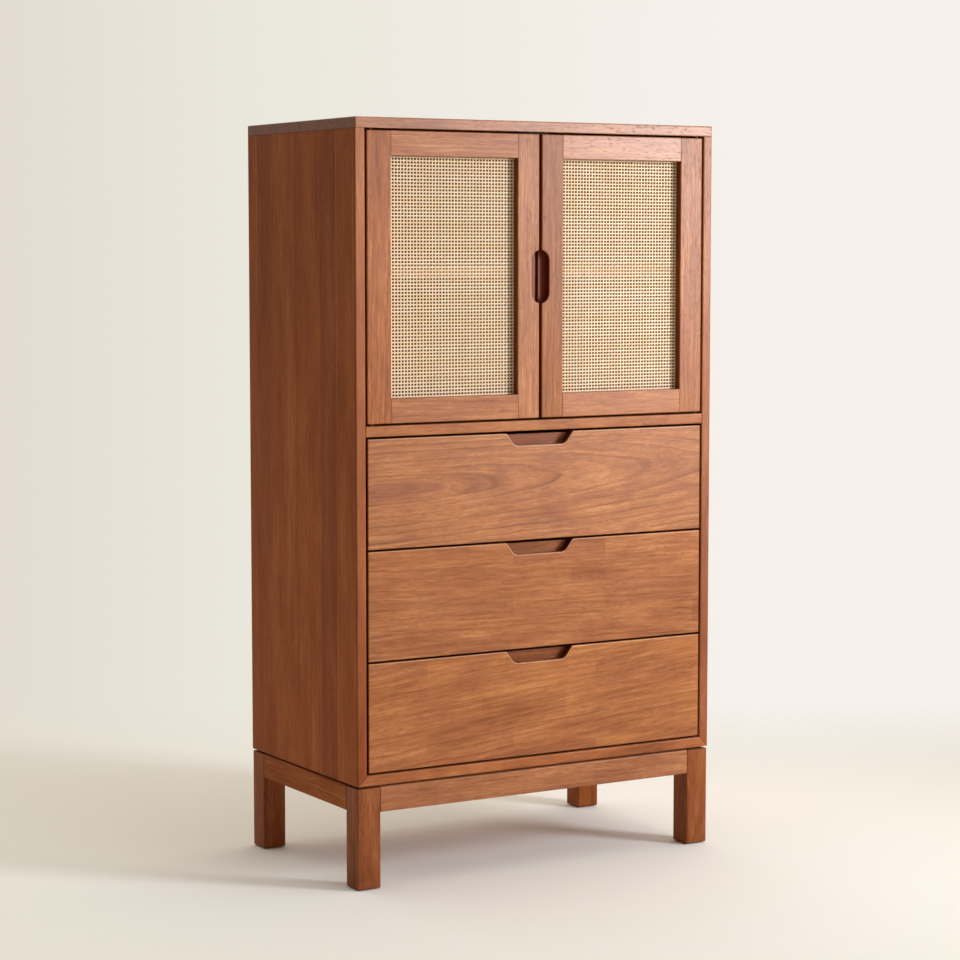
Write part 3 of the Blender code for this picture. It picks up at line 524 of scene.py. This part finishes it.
def cane_strands_tree():
    """Geometry nodes for one set of parallel strands that swing over and under those that cross them."""
    tree, given, result = new_group(
        "cane strands", "GeometryNodeTree",
        {"Start": "Vector", "Length": "Vector", "Step": "Vector",
         "Strands": "Int", "Points": "Int", "Pitch": "Vector",
         "Swing": "Float", "Width": "Float", "Thickness": "Float",
         "Seed": "Int", "Material": "Material"},
        {"Geometry": "Geometry"})
    sizes = given.outputs
    strand = add(tree, "GeometryNodeCurvePrimitiveLine", {"End": sizes["Length"]})
    strand = add(tree, "GeometryNodeResampleCurve", {"Curve": strand, "Count": sizes["Points"]})
    row = add(tree, "GeometryNodeMeshLine", {"Count": sizes["Strands"], "Start Location": sizes["Start"],
                                             "Offset": sizes["Step"]})
    strands = add(tree, "GeometryNodeInstanceOnPoints", {"Points": row, "Instance": strand})
    tone = add(tree, "FunctionNodeRandomValue", {"Seed": sizes["Seed"]}, data_type="FLOAT")
    toned = add(tree, "GeometryNodeStoreNamedAttribute",
                {"Geometry": strands, "Name": "strand_tone", "Value": tone.outputs[1]},
                data_type="FLOAT", domain="INSTANCE")
    real = add(tree, "GeometryNodeRealizeInstances", {"Geometry": toned})

    # The swing is a cosine that changes sign from one strand to the next
    place = add(tree, "GeometryNodeInputPosition")
    crossing = add(tree, "ShaderNodeVectorMath", {0: place, 1: sizes["Start"]}, operation="SUBTRACT")
    crossing = add(tree, "ShaderNodeVectorMath", {0: crossing, 1: sizes["Pitch"]}, operation="DIVIDE")
    count = add(tree, "ShaderNodeSeparateXYZ", {0: crossing})
    total = add(tree, "ShaderNodeMath", {0: count.outputs[0], 1: count.outputs[2]}, operation="ADD")
    phase = add(tree, "ShaderNodeMath", {0: total, 1: math.pi}, operation="MULTIPLY")
    wave = add(tree, "ShaderNodeMath", {0: phase}, operation="COSINE")
    depth = add(tree, "ShaderNodeMath", {0: wave, 1: sizes["Swing"]}, operation="MULTIPLY")
    offset = add(tree, "ShaderNodeCombineXYZ", {1: depth})
    waved = add(tree, "GeometryNodeSetPosition", {"Geometry": real, "Offset": offset})
    faced = add(tree, "GeometryNodeSetCurveNormal", {"Curve": waved, "Normal": (0.0, -1.0, 0.0)},
                mode="FREE")

    # A strand's section, one unit wide before it is sized, with each corner's share of the way to the rim
    section = add(tree, "GeometryNodeCurvePrimitiveCircle", {"Resolution": STRAND_SIDES, "Radius": 0.5})
    off_middle = add(tree, "ShaderNodeSeparateXYZ", {0: place})
    rim = add(tree, "ShaderNodeMath", {0: off_middle.outputs[1]}, operation="ABSOLUTE")
    rim = add(tree, "ShaderNodeMath", {0: rim, 1: 0.5 * math.sin(math.pi / 3)}, operation="DIVIDE")
    section = add(tree, "GeometryNodeStoreNamedAttribute",
                  {"Geometry": section, "Name": "strand_rim", "Value": rim},
                  data_type="FLOAT", domain="POINT")
    section_size = add(tree, "ShaderNodeCombineXYZ", {0: sizes["Thickness"], 1: sizes["Width"], 2: 1.0})
    section = add(tree, "GeometryNodeTransform", {"Geometry": section, "Scale": section_size})
    solid = add(tree, "GeometryNodeCurveToMesh", {"Curve": faced, "Profile Curve": section,
                                                  "Fill Caps": True})
    smooth = add(tree, "GeometryNodeSetShadeSmooth", {"Geometry": solid})
    real = add(tree, "GeometryNodeRealizeInstances", {"Geometry": smooth})
    dressed = add(tree, "GeometryNodeSetMaterial", {"Geometry": real, "Material": sizes["Material"]})
    feed(tree, result, {"Geometry": dressed})
    return tree


def grown(name, tree, sizes, points=()):
    """A plain mesh object grown by a tree of geometry nodes with these sizes, on points if it needs them."""
    mesh = bpy.data.meshes.new(name)
    mesh.from_pydata(points, [], [])
    piece = placed(name, mesh)
    modifier = piece.modifiers.new("grow", "NODES")
    modifier.node_group = tree
    for item in tree.interface.items_tree:
        if item.in_out == "INPUT" and item.name in sizes:
            modifier[item.identifier] = sizes[item.name]
    evaluated = piece.evaluated_get(bpy.context.evaluated_depsgraph_get())
    mesh = bpy.data.meshes.new_from_object(evaluated)
    piece.modifiers.clear()
    piece.data = mesh
    mesh.name = name
    return piece


def weave_doors():
    """The woven panels: upright and level strands in the place of each door's cane sheet."""
    tree = cane_strands_tree()
    material = woven_cane()
    for seed, word in enumerate(DOORS):
        node = f"door_{word}_cane"
        low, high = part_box(node)
        size = high - low
        counts = [round(size[axis] / CANE_PITCH[axis]) for axis in (0, 2)]
        pitch = Vector((size.x / counts[0], 1.0, size.z / counts[1]))
        first = Vector((low.x + pitch.x / 2, (low.y + high.y) / 2, low.z + pitch.z / 2))
        for way, run, step, swing in (("upright", 2, 0, STRAND_RISE), ("level", 0, 2, -STRAND_RISE)):
            start = first.copy()
            start[run] = low[run]
            length, offset = Vector(), Vector()
            length[run] = size[run]
            offset[step] = pitch[step]
            crossings = counts[1] if run == 2 else counts[0]
            strands = counts[0] if run == 2 else counts[1]
            piece = grown(f"door_{word}_cane_{way}", tree, {
                "Start": start, "Length": length, "Step": offset, "Strands": strands,
                "Points": crossings * STEPS_PER_CROSSING + 1, "Pitch": pitch, "Swing": swing,
                "Width": STRAND_WIDTHS[way], "Thickness": STRAND_THICKNESS, "Seed": 10 * seed + run,
                "Material": material})
            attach(piece, f"door_{word}")
            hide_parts(node)


# Small hardware

TOUCH = 0.1 * MM  # kept between pieces that touch
WELD = 0.01 * MM  # corners closer than this are one
BACKWARDS = (0, 1, 0)  # the way that all the screw heads face
SCREW_SIDES = 20
CROSS_LENGTH, CROSS_WIDTH = 1.2, 0.28  # of the driver's cross, as shares of the head's radius
STRIKE_WIDTH, STRIKE_HEIGHT, STRIKE_THICKNESS = 26 * MM, 11 * MM, 1.0 * MM
STRIKE_INSET, STRIKE_MARGIN = 6 * MM, 1.5 * MM  # from the doors' meeting line and from the door's head
STRIKE_EASE, STRIKE_SCREW_INSET = 0.3 * MM, 5 * MM
CATCH_WIDTH, CATCH_DEPTH, CATCH_HEIGHT = 70 * MM, 14 * MM, 13 * MM
CATCH_GAP, CATCH_EASE = 1.0 * MM, 1.2 * MM  # from the strike plates to the catch, and of its edges
MAGNET_INSET, MAGNET_HEIGHT, MAGNET_EASE = 3 * MM, 7 * MM, 0.4 * MM  # the inset is from the plate's ends
MAGNET_PROUD, MAGNET_SUNK = 0.4 * MM, 2 * MM  # in front of the catch's face and behind it
PIN_RADIUS, PIN_REACH, PIN_INSET = 2.5 * MM, 9 * MM, 45 * MM
COLLAR_RADIUS, COLLAR_REACH = 4.5 * MM, 1.2 * MM
PIN_SIDES, PIN_SHARP = 24, math.radians(40)
FRONT_SCREW_LOW, FRONT_SCREW_HIGH = 45 * MM, 115 * MM  # above the foot of the drawer box
FRONT_SCREW_SPREAD = 0.65  # of the way from the middle to the box front's ends
BACK_MARGIN = 5 * MM  # from the back's rim to its screws
BACK_SCREWS_ACROSS, BACK_SCREWS_UP = 5, 4  # in each row, and from one row to the next
SINK_TOP, SINK_BASE, SINK_DEPTH = 3.8 * MM, 1.9 * MM, 2.2 * MM
# Each kind of screw head's radius at its base and at its top, and its height
STRIKE_SCREW = (2.4 * MM, 1.8 * MM, 0.45 * MM)
FRONT_SCREW = (4.2 * MM, 3.2 * MM, 1.6 * MM)
BACK_SCREW = (SINK_BASE - TOUCH, SINK_TOP - 3 * TOUCH, SINK_DEPTH - 4 * TOUCH)
BRASS_GRIT, NYLON_GRIT = 1.5 * MM, 0.8 * MM  # both drawn a few times too coarse, to show
BRASS_ROUGHNESS, TARNISH_ROUGHER, NYLON_ROUGHNESS = 0.40, 0.2, 0.55
NYLON_RELIEF, NYLON_STRENGTH = 0.1 * MM, 0.2


def aged_brass(name, dark, light):
    """Aged brass: browned metal with a fine mottle of tarnish and a dull gleam."""
    material, tree, shader = new_material(name)
    place = add(tree, "ShaderNodeTexCoord")
    mottle = add(tree, "ShaderNodeTexNoise", {"Vector": place.outputs["Object"], "Scale": 1 / BRASS_GRIT,
                                              "Detail": 2.0})
    tarnish = add(tree, "ShaderNodeValToRGB", {"Fac": mottle},
                  stops=((0.3, linear(dark)), (0.7, linear(light))))
    rough = add(tree, "ShaderNodeMath", {0: mottle, 1: TARNISH_ROUGHER, 2: BRASS_ROUGHNESS},
                operation="MULTIPLY_ADD")
    feed(tree, shader, {"Base Color": tarnish, "Roughness": rough, "Metallic": 1.0})
    return material


def moulded_nylon():
    """Black nylon glides: matt, with a fine moulded grit."""
    material, tree, shader = new_material("moulded nylon")
    place = add(tree, "ShaderNodeTexCoord")
    grit = add(tree, "ShaderNodeTexNoise", {"Vector": place.outputs["Object"], "Scale": 1 / NYLON_GRIT,
                                            "Detail": 2.0})
    tint = add(tree, "ShaderNodeValToRGB", {"Fac": grit},
               stops=((0.3, linear("#1B1917")), (0.7, linear("#2A2724"))))
    bump = add(tree, "ShaderNodeBump", {"Height": grit, "Strength": NYLON_STRENGTH, "Distance": NYLON_RELIEF})
    feed(tree, shader, {"Base Color": tint, "Normal": bump, "Roughness": NYLON_ROUGHNESS})
    return material


def screw_heads_tree():
    """Geometry nodes for screw heads with a cross for the driver, on points that all face one way."""
    tree, given, result = new_group(
        "screw heads", "GeometryNodeTree",
        {"Geometry": "Geometry", "Facing": "Vector", "Top Radius": "Float",
         "Base Radius": "Float", "Height": "Float", "Cross Long": "Vector",
         "Cross Short": "Vector", "Seed": "Int", "Material": "Material"},
        {"Geometry": "Geometry"})
    sizes = given.outputs
    head = add(tree, "GeometryNodeMeshCone",
               {"Vertices": SCREW_SIDES, "Radius Top": sizes["Top Radius"],
                "Radius Bottom": sizes["Base Radius"], "Depth": sizes["Height"]})
    top = add(tree, "ShaderNodeCombineXYZ", {2: sizes["Height"]})
    head_cut = add(tree, "GeometryNodeMeshBoolean", {"Mesh 1": head}, operation="DIFFERENCE")
    for arm in ("Cross Long", "Cross Short"):
        bar = add(tree, "GeometryNodeMeshCube", {"Size": sizes[arm]})
        raised = add(tree, "GeometryNodeTransform", {"Geometry": bar, "Translation": top})
        feed(tree, head_cut, {"Mesh 2": raised})
    turned = add(tree, "FunctionNodeAlignRotationToVector", {"Vector": sizes["Facing"]}, axis="Z")
    heads = add(tree, "GeometryNodeInstanceOnPoints",
                {"Points": sizes["Geometry"], "Instance": head_cut, "Rotation": turned})
    angle = add(tree, "FunctionNodeRandomValue", {"Min": (0.0, 0.0, 0.0), "Max": (0.0, 0.0, math.pi),
                                                  "Seed": sizes["Seed"]}, data_type="FLOAT_VECTOR")
    spin = add(tree, "FunctionNodeEulerToRotation", {0: angle})
    spun = add(tree, "GeometryNodeRotateInstances", {"Instances": heads, "Rotation": spin,
                                                     "Local Space": True})
    real = add(tree, "GeometryNodeRealizeInstances", {"Geometry": spun})
    dressed = add(tree, "GeometryNodeSetMaterial", {"Geometry": real, "Material": sizes["Material"]})
    feed(tree, result, {"Geometry": dressed})
    return tree


def drive_screws(name, body, points, head, finish, seed):
    """Screw heads that stand on the points and ride on the body."""
    base_radius, top_radius, height = head
    arm, width = CROSS_LENGTH * top_radius, CROSS_WIDTH * top_radius
    piece = grown(name, SCREWS, {
        "Facing": BACKWARDS, "Top Radius": top_radius, "Base Radius": base_radius, "Height": height,
        "Cross Long": (arm, width, height), "Cross Short": (width, arm, height), "Seed": seed,
        "Material": finish}, points)
    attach(piece, body)


def eased_block(name, low, high, ease, finish):
    """A small block between two corners, with rounded edges."""
    bm = bmesh.new()
    bmesh.ops.create_cube(bm, size=1.0)
    middle, size = (low + high) / 2, high - low
    for vert in bm.verts:
        vert.co = Vector(middle[axis] + vert.co[axis] * size[axis] for axis in range(3))
    bmesh.ops.bevel(bm, geom=bm.edges[:], offset=ease, segments=2, profile=0.5, affect="EDGES",
                    clamp_overlap=True)
    piece = shaped(name, bm)
    piece.data.materials.append(finish)
    return piece


def evenly_spaced(start, end, count):
    """Evenly spaced values from start to end, both included."""
    return [start + (end - start) * step / (count - 1) for step in range(count)]


def fit_door_catch(brass, nylon):
    """A double magnetic catch under the top, and a strike plate on the back of each door."""
    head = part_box("top_panel")[0].z
    door_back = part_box("door_left_meeting_stile")[1].y
    plate_y = door_back + STRIKE_THICKNESS
    catch_y = plate_y + CATCH_GAP
    body = eased_block("door_catch", Vector((-CATCH_WIDTH / 2, catch_y, head - CATCH_HEIGHT)),
                       Vector((CATCH_WIDTH / 2, catch_y + CATCH_DEPTH, head - TOUCH)), CATCH_EASE, nylon)
    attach(body, "cabinet")
    middle_z = head - CATCH_HEIGHT / 2
    for seed, (word, side) in enumerate((("left", -1), ("right", 1))):
        x_low, x_high = sorted((side * STRIKE_INSET, side * (STRIKE_INSET + STRIKE_WIDTH)))
        plate_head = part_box(f"door_{word}_meeting_stile")[1].z - STRIKE_MARGIN
        plate = eased_block(f"door_{word}_strike_plate",
                            Vector((x_low, door_back + TOUCH, plate_head - STRIKE_HEIGHT)),
                            Vector((x_high, plate_y, plate_head)), STRIKE_EASE, brass)
        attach(plate, f"door_{word}")
        screw_y, screw_z = plate_y - TOUCH, plate_head - STRIKE_HEIGHT / 2
        points = [(x, screw_y, screw_z) for x in (x_low + STRIKE_SCREW_INSET, x_high - STRIKE_SCREW_INSET)]
        drive_screws(f"door_{word}_strike_screws", f"door_{word}", points, STRIKE_SCREW, brass, 20 + seed)
        magnet_low = Vector((x_low + MAGNET_INSET, catch_y - MAGNET_PROUD, middle_z - MAGNET_HEIGHT / 2))
        magnet_high = Vector((x_high - MAGNET_INSET, catch_y + MAGNET_SUNK, middle_z + MAGNET_HEIGHT / 2))
        magnet = eased_block(f"door_catch_magnet_{word}", magnet_low, magnet_high, MAGNET_EASE, brass)
        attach(magnet, "cabinet")


def set_shelf_pins(brass):
    """Four collared pins in the case's sides, under the cupboard shelf."""
    low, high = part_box("cupboard_shelf")
    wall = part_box("side_panel_right")[0].x
    bm = bmesh.new()
    for side in (-1, 1):
        for y in (low.y + PIN_INSET, high.y - PIN_INSET):
            for radius, reach in ((PIN_RADIUS, PIN_REACH), (COLLAR_RADIUS, COLLAR_REACH)):
                middle = Vector((side * (wall - TOUCH - reach / 2), y, low.z - radius - TOUCH))
                made = bmesh.ops.create_cone(bm, cap_ends=True, segments=PIN_SIDES, radius1=radius,
                                             radius2=radius, depth=reach)
                bmesh.ops.rotate(bm, verts=made["verts"], matrix=Matrix.Rotation(math.pi / 2, 3, "Y"))
                bmesh.ops.translate(bm, verts=made["verts"], vec=middle)
    piece = shaped("shelf_pins", bm)
    piece.data.materials.append(brass)
    piece.data.shade_smooth()
    piece.data.set_sharp_from_angle(angle=PIN_SHARP)
    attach(piece, "cabinet")


def screw_drawer_fronts(brass):
    """Four screws inside each drawer, which hold the front to its box."""
    for seed, word in enumerate(("lower", "middle", "upper")):
        low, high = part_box(f"drawer_{word}_box_front")
        points = [(x, high.y, z) for x in (FRONT_SCREW_SPREAD * low.x, FRONT_SCREW_SPREAD * high.x)
                  for z in (low.z + FRONT_SCREW_LOW, low.z + FRONT_SCREW_HIGH)]
        drive_screws(f"drawer_{word}_front_screws", f"drawer_{word}", points, FRONT_SCREW, brass, 30 + seed)


def drill_back(brass):
    """The back with a countersunk hole for each screw along its rim and shelf, and the screws in them."""
    low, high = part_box("back_panel")
    shelf_low, shelf_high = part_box("fixed_shelf")
    rows = [low.z + BACK_MARGIN, (shelf_low.z + shelf_high.z) / 2, high.z - BACK_MARGIN]
    ends = (low.x + BACK_MARGIN, high.x - BACK_MARGIN)
    places = [(x, z) for z in rows for x in evenly_spaced(*ends, BACK_SCREWS_ACROSS)]
    places += [(x, z) for x in ends for start, end in zip(rows, rows[1:])
               for z in evenly_spaced(start, end, BACK_SCREWS_UP)[1:-1]]
    bm = bmesh.new()
    for x, z in places:
        made = bmesh.ops.create_cone(bm, cap_ends=True, segments=SCREW_SIDES, radius1=SINK_BASE,
                                     radius2=SINK_TOP, depth=SINK_DEPTH)
        bmesh.ops.rotate(bm, verts=made["verts"], matrix=Matrix.Rotation(-math.pi / 2, 3, "X"))
        bmesh.ops.translate(bm, verts=made["verts"], vec=(x, high.y + TOUCH - SINK_DEPTH / 2, z))
    cutter = shaped("back holes", bm)

    bm = bmesh.new()
    bm.from_mesh(NODES["back_panel"].data)
    bmesh.ops.remove_doubles(bm, verts=bm.verts[:], dist=WELD)
    piece = shaped("back_panel_drilled", bm)
    cut = piece.modifiers.new("drill", "BOOLEAN")
    cut.operation = "DIFFERENCE"
    cut.object = cutter
    piece.data = bpy.data.meshes.new_from_object(piece.evaluated_get(bpy.context.evaluated_depsgraph_get()))
    piece.modifiers.clear()
    bpy.data.objects.remove(cutter)
    piece.data.materials.clear()
    piece.data.materials.append(NODES["back_panel"].data.materials[0])
    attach(piece, "cabinet")
    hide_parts("back_panel")

    points = [(x, high.y - SINK_DEPTH + 2 * TOUCH, z) for x, z in places]
    drive_screws("back_panel_screws", "cabinet", points, BACK_SCREW, brass, 40)


def dress_nodes(brass, nylon):
    """Gives each board its own cut of wood, and the hinge pins and glides their metal and nylon."""
    figure = hardwood_figure()
    chance = random.Random(WOOD_SEED)
    plain = {"brass": brass, "glide_plastic": nylon}
    for node in sorted(NODES):
        slot = SLOTS[node]
        if slot in SLOT_TONES:
            finish = oiled_board(node, figure, chance)
        elif slot in plain:
            finish = plain[slot]
        else:
            continue
        NODES[node].data.materials.clear()
        NODES[node].data.materials.append(finish)


# Studio

CAMERA_PLACE = Vector((-2.6449, -4.4420, 1.2043))
CAMERA_YAW, CAMERA_PITCH = math.radians(-30.763), math.radians(-5.148)
FRAME_PIXELS, FOCAL_PIXELS = 960, 2597.3
SENSOR = 36.0  # mm
VIEW_WAY = Vector((-math.sin(CAMERA_YAW), math.cos(CAMERA_YAW), 0.0))
VIEW_RIGHT = Vector((math.cos(CAMERA_YAW), math.sin(CAMERA_YAW), 0.0))
# Each lamp's place, aim, width and height, spread, power and colour
LAMPS = {
    "key": (Vector((2.35, -2.85, 1.75)), Vector((0.22, -0.2, 1.05)), (0.8, 1.4), 66, 18.2, "#F8FAFF"),
    "front": (Vector((0.9, -4.6, 2.5)), Vector((0.1, -0.2, 0.7)), (2.2, 1.6), 180, 36.0, "#F6F9FF"),
}
ROOM_COLOUR = "#FFF4E4"
ROOM_LIGHT, ROOM_LEAST = 0.30, 0.03  # from the horizon on average, and from the dimmest side
ROOM_LEAN = Vector((0.44, 0.54, 0.64))  # how much more comes from the right, from behind and from above
# The room's walls as seen, from left to right behind the tallboy, and behind the camera
WALL_COLOURS = ((0.06, "#E3DCD0"), (0.30, "#EAE7DC"), (0.75, "#F7F1EC"))
WALL_SPREAD = 2.4  # how quickly the walls change from left to right
DIM_WALL, DIM_RANGE = "#968F86", {1: 0.1, 2: 0.8}  # and how far towards the camera it sets in
FLOOR_COLOUR = "#F9FBF8"
FLOOR_REACH = 9.0
FLOOR_SWEEP = (0.50, 1.70)  # metres behind the tallboy between which the floor fades into the backdrop
FLOOR_EDGE = (2.5, 6.0)  # metres away from it on every side, the same


def place_camera():
    """The camera that took the photograph, worked out from the edges of the case."""
    data = bpy.data.cameras.new("camera")
    data.sensor_width = SENSOR
    data.lens = FOCAL_PIXELS / FRAME_PIXELS * SENSOR
    camera = placed("camera", data)
    camera.location = CAMERA_PLACE
    camera.rotation_euler = (math.pi / 2 + CAMERA_PITCH, 0.0, CAMERA_YAW)
    bpy.context.scene.camera = camera


def light_studio():
    """A tall gridded lamp from the right, a soft one in front, and a pale room brightest above and behind."""
    for name, (place, aim, size, spread, power, colour) in LAMPS.items():
        data = bpy.data.lights.new(name, "AREA")
        data.shape = "RECTANGLE"
        data.size, data.size_y = size
        data.spread = math.radians(spread)
        data.energy = power
        data.color = linear(colour)[:3]
        lamp = placed(name, data)
        lamp.location = place
        lamp.rotation_euler = (aim - place).to_track_quat("-Z", "Y").to_euler()

    world = bpy.data.worlds.new("pale room")
    bpy.context.scene.world = world
    world.use_nodes = True
    tree = world.node_tree
    way = add(tree, "ShaderNodeTexCoord")
    rightward = add(tree, "ShaderNodeVectorMath", {0: way.outputs["Generated"], 1: VIEW_RIGHT},
                    operation="DOT_PRODUCT").outputs["Value"]
    backdrop = add(tree, "ShaderNodeValToRGB", {
        "Fac": add(tree, "ShaderNodeMath", {0: rightward, 1: WALL_SPREAD, 2: 0.5}, operation="MULTIPLY_ADD")},
        stops=[(place, linear(colour)) for place, colour in WALL_COLOURS])
    frontward = add(tree, "ShaderNodeVectorMath", {0: way.outputs["Generated"], 1: -VIEW_WAY},
                    operation="DOT_PRODUCT").outputs["Value"]
    in_front = add(tree, "ShaderNodeMapRange", {0: frontward, **DIM_RANGE}, interpolation_type="SMOOTHSTEP")
    walls = add(tree, "ShaderNodeMix", {0: in_front, 6: backdrop, 7: linear(DIM_WALL)}, data_type="RGBA")
    leaning = add(tree, "ShaderNodeVectorMath", {0: way.outputs["Generated"], 1: ROOM_LEAN},
                  operation="DOT_PRODUCT").outputs["Value"]
    room = add(tree, "ShaderNodeMath", {0: leaning, 1: ROOM_LIGHT}, operation="ADD")
    room = add(tree, "ShaderNodeMath", {0: room, 1: ROOM_LEAST}, operation="MAXIMUM")
    ray = add(tree, "ShaderNodeLightPath")
    seen = add(tree, "ShaderNodeMath", {0: ray.outputs["Is Camera Ray"], 1: ray.outputs["Is Glossy Ray"]},
               operation="MAXIMUM")
    seen = add(tree, "ShaderNodeMath", {0: seen, 1: ray.outputs["Is Transmission Ray"]},
               operation="MAXIMUM")
    shown = add(tree, "ShaderNodeBackground", {"Color": walls.outputs[2], "Strength": 1.0})
    lights = add(tree, "ShaderNodeBackground", {"Color": linear(ROOM_COLOUR), "Strength": room})
    both = add(tree, "ShaderNodeMixShader", {0: seen, 1: lights, 2: shown})
    feed(tree, tree.nodes["World Output"], {"Surface": both})


def lay_floor():
    """A pale floor that runs out into the backdrop behind the tallboy and far away on every side."""
    bm = bmesh.new()
    bmesh.ops.create_grid(bm, x_segments=1, y_segments=1, size=FLOOR_REACH)
    floor = shaped("floor", bm)
    material, tree, shader = new_material("painted studio floor")
    place = add(tree, "ShaderNodeTexCoord")
    behind = add(tree, "ShaderNodeVectorMath", {0: place.outputs["Object"], 1: VIEW_WAY},
                 operation="DOT_PRODUCT").outputs["Value"]
    away = add(tree, "ShaderNodeVectorMath", {0: place.outputs["Object"]},
               operation="LENGTH").outputs["Value"]
    sweep = add(tree, "ShaderNodeMapRange", {0: behind, 1: FLOOR_SWEEP[0], 2: FLOOR_SWEEP[1]},
                interpolation_type="SMOOTHSTEP")
    edge = add(tree, "ShaderNodeMapRange", {0: away, 1: FLOOR_EDGE[0], 2: FLOOR_EDGE[1]},
               interpolation_type="SMOOTHSTEP")
    gone = add(tree, "ShaderNodeMath", {0: sweep, 1: edge}, operation="MAXIMUM")
    paint = add(tree, "ShaderNodeBsdfDiffuse", {"Color": linear(FLOOR_COLOUR)})
    nothing = add(tree, "ShaderNodeBsdfTransparent")
    both = add(tree, "ShaderNodeMixShader", {0: gone, 1: paint, 2: nothing})
    feed(tree, tree.nodes["Material Output"], {"Surface": both})
    tree.nodes.remove(shader)
    floor.data.materials.append(material)


place_camera()
light_studio()
lay_floor()
BRASS = aged_brass("aged brass", "#7E5E34", "#A27E4A")
PIN_BRASS = aged_brass("oil-browned brass", "#33220F", "#4A341C")
NYLON = moulded_nylon()
SCREWS = screw_heads_tree()
dress_nodes(PIN_BRASS, NYLON)
weave_doors()
fit_door_catch(BRASS, NYLON)
set_shelf_pins(BRASS)
screw_drawer_fronts(BRASS)
drill_back(BRASS)

bpy.context.scene.view_settings.view_transform = "Standard"
